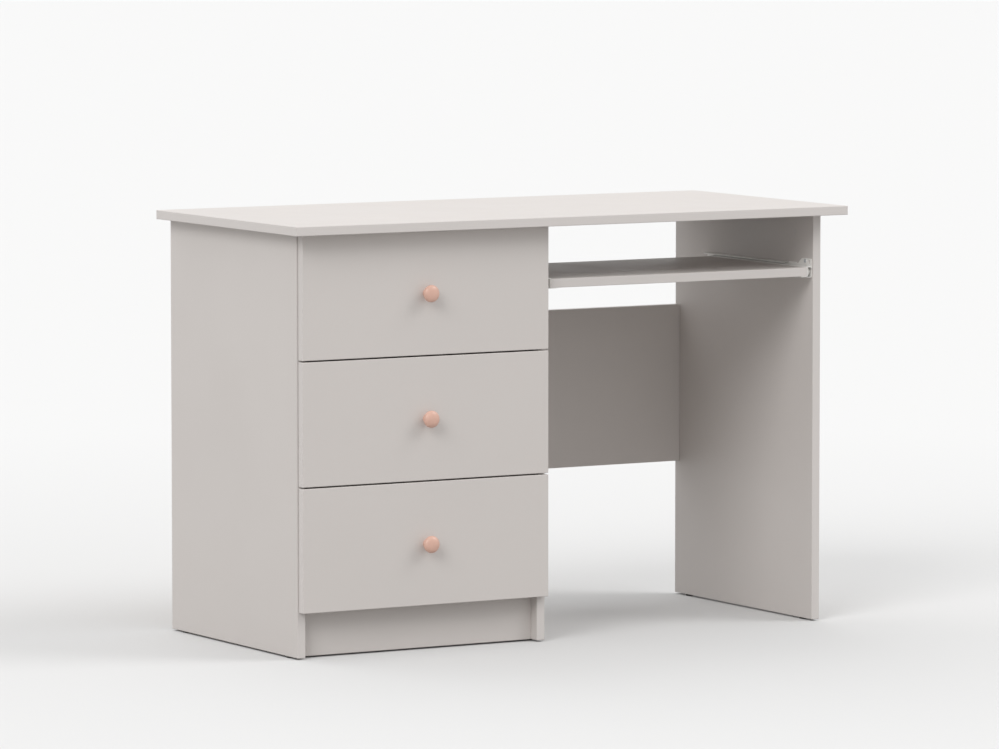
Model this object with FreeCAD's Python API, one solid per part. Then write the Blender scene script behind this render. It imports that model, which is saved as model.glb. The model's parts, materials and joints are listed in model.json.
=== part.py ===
"""Writing desk: a three-drawer pedestal on the left, a pull-out keyboard tray on the right.

Millimetres. X runs along the desk, the drawer fronts face -Y, Z is up.
The origin is the middle of the footprint, on the floor.
"""
import FreeCAD
import Part
import math
import os

# ---- driving dimensions -------------------------------------------------------------------------
DESK_WIDTH = 1120.0
DESK_DEPTH = 520.0
DESK_HEIGHT = 750.0
BOARD = 16.0               # melamine board
ARRIS = 1.0                # rounding on every board edge
END_OVERHANG = 26.0        # desk top past the outer panels
FRONT_OVERHANG = 49.0      # desk top past the panels' front edges
BACK_OVERHANG = 4.0
GLIDE_HEIGHT = 3.0
PEDESTAL_WIDTH = 494.0     # outside of left panel to outside of partition
PLINTH_HEIGHT = 80.0
PLINTH_SETBACK = 20.0
BACK_BOARD = 3.0           # hardboard
BACK_BOARD_INSET = 2.0

DRAWERS = ("bottom_drawer", "middle_drawer", "top_drawer")
FRONT_HEIGHT = 215.0
FRONT_GAP = 2.7            # between two drawer fronts
FRONT_TOP_GAP = 1.6        # under the desk top
FRONT_SIDE_INSET = 2.5
FRONT_STANDOFF = 1.0       # bumper thickness
BOX_BOARD = 12.0           # drawer sides and back
BOX_LENGTH = 450.0
BOX_HEIGHT = 150.0
BOX_RAISE = 26.0           # drawer sides start this far above the front's lower edge
GROOVE_DEPTH = 5.0
GROOVE_RAISE = 10.0        # drawer bottom above the sides' lower edge

TRAY_DEPTH = 330.0
TRAY_CLEARANCE = 95.6      # free height between tray and desk top
TRAY_RAIL_LENGTH = 350.0

MODESTY_LOW = 250.0
MODESTY_HIGH = 541.0

# ---- roller runners: across = out from the panel, up = from the drawer side's lower edge ---------
STEEL = 1.2
RUNNER_SPACE = 12.5        # between panel and drawer side
RAIL_SETBACK = 4.0         # rail's front end behind the panel's front edge
CHANNEL_BOTTOM = -2.5
RAIL_TOP = 21.5
CHANNEL_REACH = 9.5
PLATE_TOP = 31.0
PLATE_FLAT = 31.0          # length of the plate's full height
NOTCH = (45.0, 19.5)       # depth and height of the notch behind the plate
TAB_TOP = 22.3
TAB_SPAN = (49.0, 74.0)
GUIDE_START = 77.0         # the top flange begins here
PLATE_SLOT = (7.0, 23.5, 26.5)  # depth, and the heights of its two ends
PLATE_SCREW = (20.0, 26.0)  # depth and height
MIDDLE_SCREW_SHARE = 0.45  # of the rail's length
REAR_SCREW_INSET = 30.0
SLIDE_SCREW_INSET = 25.0
HOOK_TOP = 17.5
HOOK_LIP = 14.3            # lower edge of the hook's lip
HOOK_START = 2.1           # across
SLIDE_FLANGE = 12.0        # under the drawer side
ROLLER_RADIUS = 8.0
ROLLER_WIDTH = 5.9
ROLLER_RIM = 0.6           # rounding
ROLLER_GAP = 0.3           # roller to track
PIN_RADIUS = 2.5
PIN_CLEARANCE = 0.05
PIN_HEAD_RADIUS = 4.0
PIN_HEAD = 0.6
SIDE_PLAY = 0.3            # roller face to pin head or collar
FRONT_ROLLER_BACK = 9.0   # behind the rail's front end
REAR_ROLLER_INSET = 12.0   # ahead of the slide's rear end
STOP_TAB_RISE = 3.0        # above the track
STOP_TAB_BACK = 45.0

# ---- fittings -----------------------------------------------------------------------------------
CAM_RADIUS = 7.5
CAM_DEPTH = 12.5
CAM_FROM_EDGE = 34.0
TOP_CAM_INSETS = (61.0, 66.0)  # from an upright's front and back edges
DOWEL_BEHIND_CAM = 60.0
FLOOR_CAM_INSET = 80.0
PLINTH_CAM_RAISE = 12.0    # above the plinth's middle
PLINTH_DOWEL_DROP = 16.0   # under it
MODESTY_CAM_INSET = 50.0
CAM_BOLT_RADIUS = 3.0
BOLT_INTO_FACE = 10.5
BOLT_HOLE_BREAK_IN = 3.0   # into the cam's hole
CAM_SLOT = (1.4, 9.0, 2.0)  # width, length and depth of the cross slot
COVER_THICKNESS = 1.5
BOX_CAM_RADIUS = 6.0
BOX_CAM_DEPTH = 9.0
BOX_CAM_BACK = 24.0
BOX_BOLT_RADIUS = 2.5
BOX_FITTING_LEVELS = (45.0, 120.0)
BOX_SCREW = 35.0
DOWEL_RADIUS = 4.0
DOWEL_HALF_IN_FACE = 10.0
DOWEL_HALF_IN_EDGE = 22.0
SCREW_RADIUS = 1.75
SCREW_HEAD_RADIUS = 3.5
SCREW_HEAD = 1.2
COUNTERSINK = 2.0
SCREW_HOLE_RADIUS = 2.25
RAIL_SCREW_DEPTH = 12.0
GLIDE_RADIUS = 7.0
GLIDE_NAIL_RADIUS = 1.0
GLIDE_NAIL = 14.0
GLIDE_ROUNDING = 1.0
GLIDE_CUP = 0.5            # the nail's head sits this far above the floor
GLIDE_FROM_END = 40.0
BUMPER_RADIUS = 4.0
BUMPER_DROP = 15.0         # under the drawer front's upper edge
NAIL_RADIUS = 0.8
NAIL_HEAD_RADIUS = 1.8
NAIL_HEAD = 0.7
NAIL_DEPTH = 18.0
NAIL_INSET = 20.0          # from the back's upper and lower edges
NAIL_ROWS = 5
FLOOR_NAIL_SPACING = 120.0
TRAY_SCREW_COVER = 4.0     # board left above the tray's screws

# ---- knob: radius and distance from the drawer front --------------------------------------------
KNOB_FOOT_RADIUS = 8.0
KNOB_NECK = (6.5, 7.0)
KNOB_FLARE = (8.4, 10.4)
KNOB_UNDERSIDE = (13.2, 11.8)
KNOB_RIM = (15.0, 15.4)
KNOB_SHOULDER = (13.6, 19.4)
KNOB_LENGTH = 24.0
KNOB_SCREW_RADIUS = 2.0
KNOB_SCREW_GRIP = 13.0
KNOB_SCREW_HEAD = (4.0, 2.4)

# ---- places worked out from them ----------------------------------------------------------------
TOP_UNDERSIDE = DESK_HEIGHT - BOARD
PANEL_FRONT = FRONT_OVERHANG - DESK_DEPTH / 2
PANEL_BACK = DESK_DEPTH / 2 - BACK_OVERHANG
LEFT_OUTSIDE = END_OVERHANG - DESK_WIDTH / 2
RIGHT_OUTSIDE = -LEFT_OUTSIDE
PEDESTAL_RIGHT = LEFT_OUTSIDE + PEDESTAL_WIDTH
LEFT_INSIDE = LEFT_OUTSIDE + BOARD
PARTITION_LEFT = PEDESTAL_RIGHT - BOARD
RIGHT_INSIDE = RIGHT_OUTSIDE - BOARD
PLINTH_FRONT = PANEL_FRONT + PLINTH_SETBACK
FLOOR_BOTTOM = GLIDE_HEIGHT + PLINTH_HEIGHT
FRONT_BACK = PANEL_FRONT - FRONT_STANDOFF
FRONT_FACE = FRONT_BACK - BOARD
BOX_BACK = FRONT_BACK + BOX_LENGTH
BOX_LEFT = LEFT_INSIDE + RUNNER_SPACE
BOX_RIGHT = PARTITION_LEFT - RUNNER_SPACE
PEDESTAL_MIDDLE = (LEFT_INSIDE + PARTITION_LEFT) / 2
TRAY_LEFT = PEDESTAL_RIGHT + RUNNER_SPACE
TRAY_RIGHT = RIGHT_INSIDE - RUNNER_SPACE
TRAY_TOP = TOP_UNDERSIDE - TRAY_CLEARANCE
TRAY_BOTTOM = TRAY_TOP - BOARD
RAIL_FRONT = PANEL_FRONT + RAIL_SETBACK
SLIDE_WEB = RUNNER_SPACE - STEEL
FRONT_ROLLER_HEIGHT = HOOK_TOP - STEEL - ROLLER_GAP - ROLLER_RADIUS
REAR_ROLLER_HEIGHT = CHANNEL_BOTTOM + STEEL + ROLLER_GAP + ROLLER_RADIUS
FRONT_ROLLER_ACROSS = 3.7
REAR_ROLLER_ACROSS = 3.8

X_AXIS = FreeCAD.Vector(1, 0, 0)
Y_AXIS = FreeCAD.Vector(0, 1, 0)
Z_AXIS = FreeCAD.Vector(0, 0, 1)


# ---- small builders -----------------------------------------------------------------------------
def block(x_span, y_span, z_span):
    """A sharp-edged box between three pairs of limits."""
    size = [span[1] - span[0] for span in (x_span, y_span, z_span)]
    return Part.makeBox(*size, FreeCAD.Vector(x_span[0], y_span[0], z_span[0]))


def board(x_span, y_span, z_span, radius=ARRIS):
    """A board whose edges are all slightly rounded."""
    plain = block(x_span, y_span, z_span)
    return plain.makeFillet(radius, plain.Edges)


def rod(start, axis, radius, length):
    return Part.makeCylinder(radius, length, FreeCAD.Vector(*start), axis)


def cone(start, axis, start_radius, end_radius, length):
    return Part.makeCone(start_radius, end_radius, length, FreeCAD.Vector(*start), axis)


def fused(pieces):
    return pieces[0].fuse(pieces[1:]).removeSplitter()


def group(pieces):
    return Part.makeCompound(pieces)


def save(name, shape):
    shape.exportStep("parts/" + name + ".step")


def mirrored(shape, x_plane):
    return shape.mirror(FreeCAD.Vector(x_plane, 0, 0), X_AXIS)


def moved(shape, offset):
    copy = shape.copy()
    copy.translate(FreeCAD.Vector(*offset))
    return copy


# ---- fasteners ----------------------------------------------------------------------------------
def pan_screw(start, axis, depth):
    """A screw whose flat head stands on the surface at start; the shank follows the axis."""
    under_head = FreeCAD.Vector(*start)
    head = Part.makeCylinder(SCREW_HEAD_RADIUS, SCREW_HEAD, under_head - axis * SCREW_HEAD, axis)
    shank = Part.makeCylinder(SCREW_RADIUS, depth, under_head, axis)
    return fused([head, shank])


def countersunk_screw(start, axis, depth):
    """A screw whose head is flush with the surface at start."""
    head = cone(start, axis, SCREW_HEAD_RADIUS, SCREW_RADIUS, COUNTERSINK)
    shank = rod(start, axis, SCREW_RADIUS, depth)
    return fused([head, shank])


def cross_slot(start, axis, across):
    """The cross cut in a cam's face, centred on start; across is any direction in the face."""
    width, length, depth = CAM_SLOT
    other = axis.cross(across)
    cuts = []
    for long_way, short_way in ((across, other), (other, across)):
        corner = FreeCAD.Vector(*start) - long_way * (length / 2) - short_way * (width / 2)
        base = Part.makePolygon([corner, corner + long_way * length,
                                 corner + long_way * length + short_way * width,
                                 corner + short_way * width, corner])
        cuts.append(Part.Face(base).extrude(axis * depth))
    return group(cuts)


def cam(start, axis, radius, depth):
    """A cam lock set into a face at start; axis points into the board."""
    across = Z_AXIS if abs(axis.z) < 0.5 else X_AXIS
    return rod(start, axis, radius, depth).cut(cross_slot(start, axis, across)).removeSplitter()


def cam_bolt(rim, axis, radius, length):
    """A bolt that starts at a cam's rim, and its hole, which breaks into the cam's hole."""
    rim = FreeCAD.Vector(*rim)
    bolt = Part.makeCylinder(radius, length, rim, axis)
    hole = Part.makeCylinder(radius, length + BOLT_HOLE_BREAK_IN, rim - axis * BOLT_HOLE_BREAK_IN, axis)
    return bolt, hole


def dowel(joint_plane_point, axis_into_face):
    """A dowel through a butt joint, shallow into the face and deep into the edge."""
    middle = FreeCAD.Vector(*joint_plane_point)
    start = middle - axis_into_face * DOWEL_HALF_IN_EDGE
    return Part.makeCylinder(DOWEL_RADIUS, DOWEL_HALF_IN_EDGE + DOWEL_HALF_IN_FACE, start, axis_into_face)


# ---- the carcass's cam and dowel joints ---------------------------------------------------------
def cam_joint(face_point, into_face, cam_opening, cam_axis, covered=False):
    """One cam joint, as lock, bolt, cover and drilling: the bolt stands in a face, at face_point.

    into_face points from the butting board into the face that holds the bolt. cam_opening is
    where the cam's axis meets the butting board's face, and cam_axis points into that board.
    """
    cover = COVER_THICKNESS if covered else 0.0
    opening = FreeCAD.Vector(*cam_opening)
    lock = cam(opening + cam_axis * cover, cam_axis, CAM_RADIUS, CAM_DEPTH - cover)
    rim = FreeCAD.Vector(*face_point) - into_face * (CAM_FROM_EDGE - CAM_RADIUS)
    bolt, bolt_hole = cam_bolt(rim, into_face, CAM_BOLT_RADIUS,
                               CAM_FROM_EDGE - CAM_RADIUS + BOLT_INTO_FACE)
    cap = Part.makeCylinder(CAM_RADIUS, cover, opening, cam_axis) if covered else None
    cam_hole = Part.makeCylinder(CAM_RADIUS, CAM_DEPTH, opening, cam_axis)
    return lock, bolt, cap, fused([cam_hole, bolt_hole])


def carcass_joints():
    """The carcass's cam joints, as lists of locks, bolts, covers and drillings, and its dowels."""
    joints = []
    dowels = []
    cam_level = TOP_UNDERSIDE - CAM_FROM_EDGE
    # desk top on the three upright panels; the cams of the outer right panel can be seen
    uprights = ((LEFT_OUTSIDE, LEFT_INSIDE, -X_AXIS, False),
                (PARTITION_LEFT, PARTITION_LEFT, X_AXIS, False),
                (RIGHT_INSIDE, RIGHT_INSIDE, X_AXIS, True))
    for panel_left, cam_face, into_panel, covered in uprights:
        middle = panel_left + BOARD / 2
        for end, inset, inward in ((PANEL_FRONT, TOP_CAM_INSETS[0], 1),
                                   (PANEL_BACK, TOP_CAM_INSETS[1], -1)):
            y = end + inward * inset
            joints.append(cam_joint((middle, y, TOP_UNDERSIDE), Z_AXIS,
                                    (cam_face, y, cam_level), into_panel, covered))
            dowels.append(dowel((middle, y + inward * DOWEL_BEHIND_CAM, TOP_UNDERSIDE), Z_AXIS))
    # pedestal floor and plinth between the left panel and the partition
    floor_middle = FLOOR_BOTTOM + BOARD / 2
    plinth_middle = GLIDE_HEIGHT + PLINTH_HEIGHT / 2
    for wall, into_wall in ((LEFT_INSIDE, -X_AXIS), (PARTITION_LEFT, X_AXIS)):
        cam_x = wall - into_wall.x * CAM_FROM_EDGE
        for y in (PANEL_FRONT + FLOOR_CAM_INSET, PANEL_BACK - FLOOR_CAM_INSET):
            joints.append(cam_joint((wall, y, floor_middle), into_wall,
                                    (cam_x, y, FLOOR_BOTTOM), Z_AXIS))
        dowels.append(dowel((wall, 0, floor_middle), into_wall))
        plinth_cam = plinth_middle + PLINTH_CAM_RAISE
        joints.append(cam_joint((wall, PLINTH_FRONT + BOARD / 2, plinth_cam), into_wall,
                                (cam_x, PLINTH_FRONT + BOARD, plinth_cam), -Y_AXIS))
        plinth_dowel = plinth_middle - PLINTH_DOWEL_DROP
        dowels.append(dowel((wall, PLINTH_FRONT + BOARD / 2, plinth_dowel), into_wall))
    # modesty panel between the partition and the right panel; its cams open at the back
    for wall, into_wall in ((PEDESTAL_RIGHT, -X_AXIS), (RIGHT_INSIDE, X_AXIS)):
        cam_x = wall - into_wall.x * CAM_FROM_EDGE
        for z in (MODESTY_LOW + MODESTY_CAM_INSET, MODESTY_HIGH - MODESTY_CAM_INSET):
            joints.append(cam_joint((wall, PANEL_BACK - BOARD / 2, z), into_wall,
                                    (cam_x, PANEL_BACK, z), -Y_AXIS, True))
        middle = (MODESTY_LOW + MODESTY_HIGH) / 2
        dowels.append(dowel((wall, PANEL_BACK - BOARD / 2, middle), into_wall))
    locks, bolts, covers, drillings = zip(*joints)
    return locks, bolts, [cover for cover in covers if cover], drillings, dowels


# ---- roller runners -----------------------------------------------------------------------------
def rail(length):
    """The runner's fixed member for a left panel: x across, y back, z up from the side's edge."""
    tab_front, tab_rear = TAB_SPAN
    outline = [(0, CHANNEL_BOTTOM), (0, PLATE_TOP), (PLATE_FLAT, PLATE_TOP), NOTCH,
               (tab_front, TAB_TOP), (tab_rear, TAB_TOP), (GUIDE_START, RAIL_TOP),
               (length, RAIL_TOP), (length, CHANNEL_BOTTOM)]
    points = [FreeCAD.Vector(0, y, z) for y, z in outline + outline[:1]]
    web = Part.Face(Part.makePolygon(points)).extrude(X_AXIS * STEEL)
    track = block((0, CHANNEL_REACH), (0, length), (CHANNEL_BOTTOM, CHANNEL_BOTTOM + STEEL))
    guide = block((0, CHANNEL_REACH), (GUIDE_START, length), (RAIL_TOP - STEEL, RAIL_TOP))
    stop = block((0, CHANNEL_REACH), (STOP_TAB_BACK, STOP_TAB_BACK + STEEL),
                 (CHANNEL_BOTTOM, CHANNEL_BOTTOM + STEEL + STOP_TAB_RISE))
    steel = fused([web, track, guide, stop, front_roller_pin()])
    holes = [rod((-STEEL, y, z), X_AXIS, SCREW_HOLE_RADIUS, 3 * STEEL)
             for y, z in rail_screw_places(length)]
    return steel.cut(group(holes + [plate_slot()]))


def front_roller_pin():
    """The pin riveted into the rail's plate, with the collar and head that keep the roller."""
    y = FRONT_ROLLER_BACK
    z = FRONT_ROLLER_HEIGHT
    collar_end = FRONT_ROLLER_ACROSS - SIDE_PLAY
    head_start = FRONT_ROLLER_ACROSS + ROLLER_WIDTH + SIDE_PLAY
    return fused([rod((0, y, z), X_AXIS, PIN_RADIUS, head_start + PIN_HEAD),
                  rod((0, y, z), X_AXIS, PIN_HEAD_RADIUS, collar_end),
                  rod((head_start, y, z), X_AXIS, PIN_HEAD_RADIUS, PIN_HEAD)])


def plate_slot():
    """The upright adjusting slot near the plate's front edge."""
    y, low, high = PLATE_SLOT
    return group([rod((-STEEL, y, low), X_AXIS, SCREW_HOLE_RADIUS, 3 * STEEL),
                  rod((-STEEL, y, high), X_AXIS, SCREW_HOLE_RADIUS, 3 * STEEL),
                  block((-STEEL, 2 * STEEL), (y - SCREW_HOLE_RADIUS, y + SCREW_HOLE_RADIUS),
                        (low, high))])


def rail_screw_places(length):
    """Back from the rail's front end, and up: one in the plate, one mid-way, one at the rear."""
    web_middle = (CHANNEL_BOTTOM + RAIL_TOP) / 2
    return (PLATE_SCREW, (length * MIDDLE_SCREW_SHARE, web_middle),
            (length - REAR_SCREW_INSET, web_middle))


def slide(length):
    """The runner's moving member for the left side of a drawer, with its rear roller's pin."""
    web = block((SLIDE_WEB, RUNNER_SPACE), (0, length), (-STEEL, HOOK_TOP))
    flange = block((SLIDE_WEB, RUNNER_SPACE + SLIDE_FLANGE), (0, length), (-STEEL, 0))
    hook = block((HOOK_START, RUNNER_SPACE), (0, length), (HOOK_TOP - STEEL, HOOK_TOP))
    lip = block((HOOK_START, HOOK_START + STEEL), (0, length), (HOOK_LIP, HOOK_TOP))
    steel = fused([web, flange, hook, lip, rear_roller_pin(length)])
    holes = [rod((across, y, -3 * STEEL), Z_AXIS, SCREW_HOLE_RADIUS, 4 * STEEL)
             for across, y in slide_screw_places(length)]
    return steel.cut(group(holes))


def rear_roller_pin(length):
    y = length - REAR_ROLLER_INSET
    z = REAR_ROLLER_HEIGHT
    collar_start = REAR_ROLLER_ACROSS + ROLLER_WIDTH + SIDE_PLAY
    head_start = REAR_ROLLER_ACROSS - SIDE_PLAY - PIN_HEAD
    return fused([rod((head_start, y, z), X_AXIS, PIN_RADIUS, RUNNER_SPACE - head_start),
                  rod((collar_start, y, z), X_AXIS, PIN_HEAD_RADIUS, RUNNER_SPACE - collar_start),
                  rod((head_start, y, z), X_AXIS, PIN_HEAD_RADIUS, PIN_HEAD)])


def slide_screw_places(length):
    """Across and back: up through the flange, in the middle of the drawer side."""
    across = RUNNER_SPACE + SLIDE_FLANGE / 2
    return [(across, y)
            for y in (SLIDE_SCREW_INSET, length / 2, length - SLIDE_SCREW_INSET)]


def roller(across, back, up):
    """A nylon wheel with rounded rims, turning about x."""
    wheel = rod((across, back, up), X_AXIS, ROLLER_RADIUS, ROLLER_WIDTH)
    wheel = wheel.makeFillet(ROLLER_RIM, wheel.Edges[:1] + wheel.Edges[2:])
    bore = rod((across - 1, back, up), X_AXIS, PIN_RADIUS + PIN_CLEARANCE, ROLLER_WIDTH + 2)
    return wheel.cut(bore)


class Runner:
    """A pair of roller runners between two panel faces, for one drawer or the tray."""

    def __init__(self, left_face, right_face, level, rail_length, slide_front, slide_length):
        self.middle = (left_face + right_face) / 2
        self.rail_length = rail_length
        self.slide_length = slide_length
        self.rail_origin = (left_face, RAIL_FRONT, level)
        self.slide_origin = (left_face, slide_front, level)

    def pair(self, shape, origin):
        """The left piece in place, and its mirror image at the right."""
        left = moved(shape, origin)
        return [left, mirrored(left, self.middle)]

    def rails(self):
        return self.pair(rail(self.rail_length), self.rail_origin)

    def slides(self):
        return self.pair(slide(self.slide_length), self.slide_origin)

    def front_rollers(self):
        wheel = roller(FRONT_ROLLER_ACROSS, FRONT_ROLLER_BACK, FRONT_ROLLER_HEIGHT)
        return self.pair(wheel, self.rail_origin)

    def rear_rollers(self):
        back = self.slide_length - REAR_ROLLER_INSET
        wheel = roller(REAR_ROLLER_ACROSS, back, REAR_ROLLER_HEIGHT)
        return self.pair(wheel, self.slide_origin)

    def rail_screws(self):
        screws = []
        for y, z in rail_screw_places(self.rail_length):
            screws += self.pair(pan_screw((STEEL, y, z), -X_AXIS, STEEL + RAIL_SCREW_DEPTH),
                                self.rail_origin)
        return screws

    def slide_screws(self, depth):
        screws = []
        for across, y in slide_screw_places(self.slide_length):
            screws += self.pair(pan_screw((across, y, -STEEL), Z_AXIS, STEEL + depth),
                                self.slide_origin)
        return screws


# ---- knob ---------------------------------------------------------------------------------------
def knob(x, z):
    """A turned mushroom knob standing on the drawer front."""
    def at(point):
        radius, distance = point
        return FreeCAD.Vector(x + radius, FRONT_FACE - distance, z)

    axis_start = at((0, 0))
    axis_end = at((0, KNOB_LENGTH))
    dome_reach, dome_base = KNOB_SHOULDER
    dome_rise = KNOB_LENGTH - dome_base
    dome_radius = (dome_reach ** 2 + dome_rise ** 2) / (2 * dome_rise)
    half_angle = math.asin(dome_reach / dome_radius) / 2
    dome_middle = (dome_radius * math.sin(half_angle),
                   KNOB_LENGTH - dome_radius * (1 - math.cos(half_angle)))
    outline = [Part.LineSegment(axis_start, at((KNOB_FOOT_RADIUS, 0))),
               Part.LineSegment(at((KNOB_FOOT_RADIUS, 0)), at(KNOB_NECK)),
               Part.Arc(at(KNOB_NECK), at(KNOB_FLARE), at(KNOB_UNDERSIDE)),
               Part.Arc(at(KNOB_UNDERSIDE), at(KNOB_RIM), at(KNOB_SHOULDER)),
               Part.Arc(at(KNOB_SHOULDER), at(dome_middle), axis_end),
               Part.LineSegment(axis_end, axis_start)]
    profile = Part.Face(Part.Wire([curve.toShape() for curve in outline]))
    return profile.revolve(axis_start, Y_AXIS, 360)


def knob_screw(x, z):
    """The machine screw from inside the drawer, through the front, into the knob."""
    head_radius, head_height = KNOB_SCREW_HEAD
    head = rod((x, FRONT_BACK, z), Y_AXIS, head_radius, head_height)
    shank = rod((x, FRONT_BACK, z), -Y_AXIS, KNOB_SCREW_RADIUS, BOARD + KNOB_SCREW_GRIP)
    return fused([head, shank])


# ---- drawers ------------------------------------------------------------------------------------
def box_fittings(level):
    """Cams and bolts that pull the sides to the front, the back's screws, and all their holes."""
    cam_y = FRONT_BACK + BOX_CAM_BACK
    bolt_length = BOX_CAM_BACK - BOX_CAM_RADIUS + BOLT_INTO_FACE
    pieces = []
    drillings = []
    for face, inward in ((BOX_LEFT, X_AXIS), (BOX_RIGHT, -X_AXIS)):
        middle = face + inward.x * BOX_BOARD / 2
        for height in BOX_FITTING_LEVELS:
            z = level + height
            cam_hole = rod((face, cam_y, z), inward, BOX_CAM_RADIUS, BOX_CAM_DEPTH)
            bolt, bolt_hole = cam_bolt((middle, cam_y - BOX_CAM_RADIUS, z), -Y_AXIS,
                                       BOX_BOLT_RADIUS, bolt_length)
            screw = countersunk_screw((face, BOX_BACK - BOX_BOARD / 2, z), inward, BOX_SCREW)
            lock = cam((face, cam_y, z), inward, BOX_CAM_RADIUS, BOX_CAM_DEPTH)
            pieces += [lock, bolt, screw]
            drillings += [fused([cam_hole, bolt_hole]), screw]
    return pieces, drillings


def make_drawer(name, front_bottom):
    """One drawer: a box on runners with a board front and a knob. Returns its runner."""
    level = front_bottom + BOX_RAISE
    box_top = level + BOX_HEIGHT
    knob_height = front_bottom + FRONT_HEIGHT / 2
    runner = Runner(LEFT_INSIDE, PARTITION_LEFT, level, BOX_LENGTH, FRONT_BACK, BOX_LENGTH)
    inner_left = BOX_LEFT + BOX_BOARD
    inner_right = BOX_RIGHT - BOX_BOARD
    groove_level = level + GROOVE_RAISE
    bottom = block((inner_left - GROOVE_DEPTH, inner_right + GROOVE_DEPTH),
                   (FRONT_BACK - GROOVE_DEPTH, BOX_BACK), (groove_level, groove_level + BACK_BOARD))
    box_pieces, drillings = box_fittings(level)
    screws = runner.slide_screws(GROOVE_RAISE - 1) + [knob_screw(PEDESTAL_MIDDLE, knob_height)]
    fittings = box_pieces + screws
    cutters = drillings + screws + [bottom]
    side_spans = ((FRONT_BACK, BOX_BACK), (level, box_top))
    boards = {
        "front": board((LEFT_OUTSIDE + FRONT_SIDE_INSET, PEDESTAL_RIGHT - FRONT_SIDE_INSET),
                       (FRONT_FACE, FRONT_BACK), (front_bottom, front_bottom + FRONT_HEIGHT)),
        "left_side": board((BOX_LEFT, inner_left), *side_spans),
        "right_side": board((inner_right, BOX_RIGHT), *side_spans),
        "back": board((inner_left, inner_right), (BOX_BACK - BOX_BOARD, BOX_BACK),
                      (groove_level + BACK_BOARD, box_top)),
        "knob": knob(PEDESTAL_MIDDLE, knob_height),
    }
    for part, shape in boards.items():
        save(name + "_" + part, shape.cut(cutters))
    left_slide, right_slide = runner.slides()
    save(name + "_bottom", bottom)
    save(name + "_slide_left", left_slide)
    save(name + "_slide_right", right_slide)
    save(name + "_rear_rollers", group(runner.rear_rollers()))
    save(name + "_fittings", group(fittings))
    return runner


def make_tray():
    """The keyboard tray: one board on a pair of runners. Returns its runner."""
    runner = Runner(PEDESTAL_RIGHT, RIGHT_INSIDE, TRAY_BOTTOM, TRAY_RAIL_LENGTH,
                    PANEL_FRONT, TRAY_DEPTH)
    screws = group(runner.slide_screws(BOARD - TRAY_SCREW_COVER))
    tray = board((TRAY_LEFT, TRAY_RIGHT), (PANEL_FRONT, PANEL_FRONT + TRAY_DEPTH),
                 (TRAY_BOTTOM, TRAY_TOP))
    left_slide, right_slide = runner.slides()
    save("keyboard_tray", tray.cut(screws))
    save("tray_slide_left", left_slide)
    save("tray_slide_right", right_slide)
    save("tray_rear_rollers", group(runner.rear_rollers()))
    save("tray_screws", screws)
    return runner


# ---- carcass ------------------------------------------------------------------------------------
def floor_glides():
    """Nail-on glides under both ends of the three uprights."""
    glides = []
    for panel_left in (LEFT_OUTSIDE, PARTITION_LEFT, RIGHT_INSIDE):
        x = panel_left + BOARD / 2
        for y in (PANEL_FRONT + GLIDE_FROM_END, PANEL_BACK - GLIDE_FROM_END):
            pad = rod((x, y, 0), Z_AXIS, GLIDE_RADIUS, GLIDE_HEIGHT)
            lower_rim = [edge for edge in pad.Edges if edge.BoundBox.ZMax < GLIDE_ROUNDING]
            pad = pad.makeFillet(GLIDE_ROUNDING, lower_rim)
            nail = rod((x, y, GLIDE_CUP), Z_AXIS, GLIDE_NAIL_RADIUS, GLIDE_HEIGHT + GLIDE_NAIL)
            glides.append(fused([pad, nail]))
    return glides


def drawer_bumpers(front_bottoms):
    """Soft discs on the panels' front edges, where the drawer fronts close against them."""
    bumpers = []
    for front_bottom in front_bottoms:
        z = front_bottom + FRONT_HEIGHT - BUMPER_DROP
        for x in (LEFT_OUTSIDE + BOARD / 2, PARTITION_LEFT + BOARD / 2):
            bumpers.append(rod((x, PANEL_FRONT, z), -Y_AXIS, BUMPER_RADIUS, FRONT_STANDOFF))
    return bumpers


def back_nails(back_face, low, high):
    """Small nails round the hardboard back."""
    nails = []
    columns = (LEFT_OUTSIDE + BOARD / 2, PARTITION_LEFT + BOARD / 2)
    pitch = (high - low - 2 * NAIL_INSET) / (NAIL_ROWS - 1)
    places = [(x, low + NAIL_INSET + pitch * row) for x in columns for row in range(NAIL_ROWS)]
    places += [(PEDESTAL_MIDDLE + step * FLOOR_NAIL_SPACING, FLOOR_BOTTOM + BOARD / 2)
               for step in (-1, 0, 1)]
    for x, z in places:
        head = rod((x, back_face, z), Y_AXIS, NAIL_HEAD_RADIUS, NAIL_HEAD)
        shank = rod((x, back_face, z), -Y_AXIS, NAIL_RADIUS, NAIL_DEPTH)
        nails.append(fused([head, shank]))
    return nails


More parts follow.
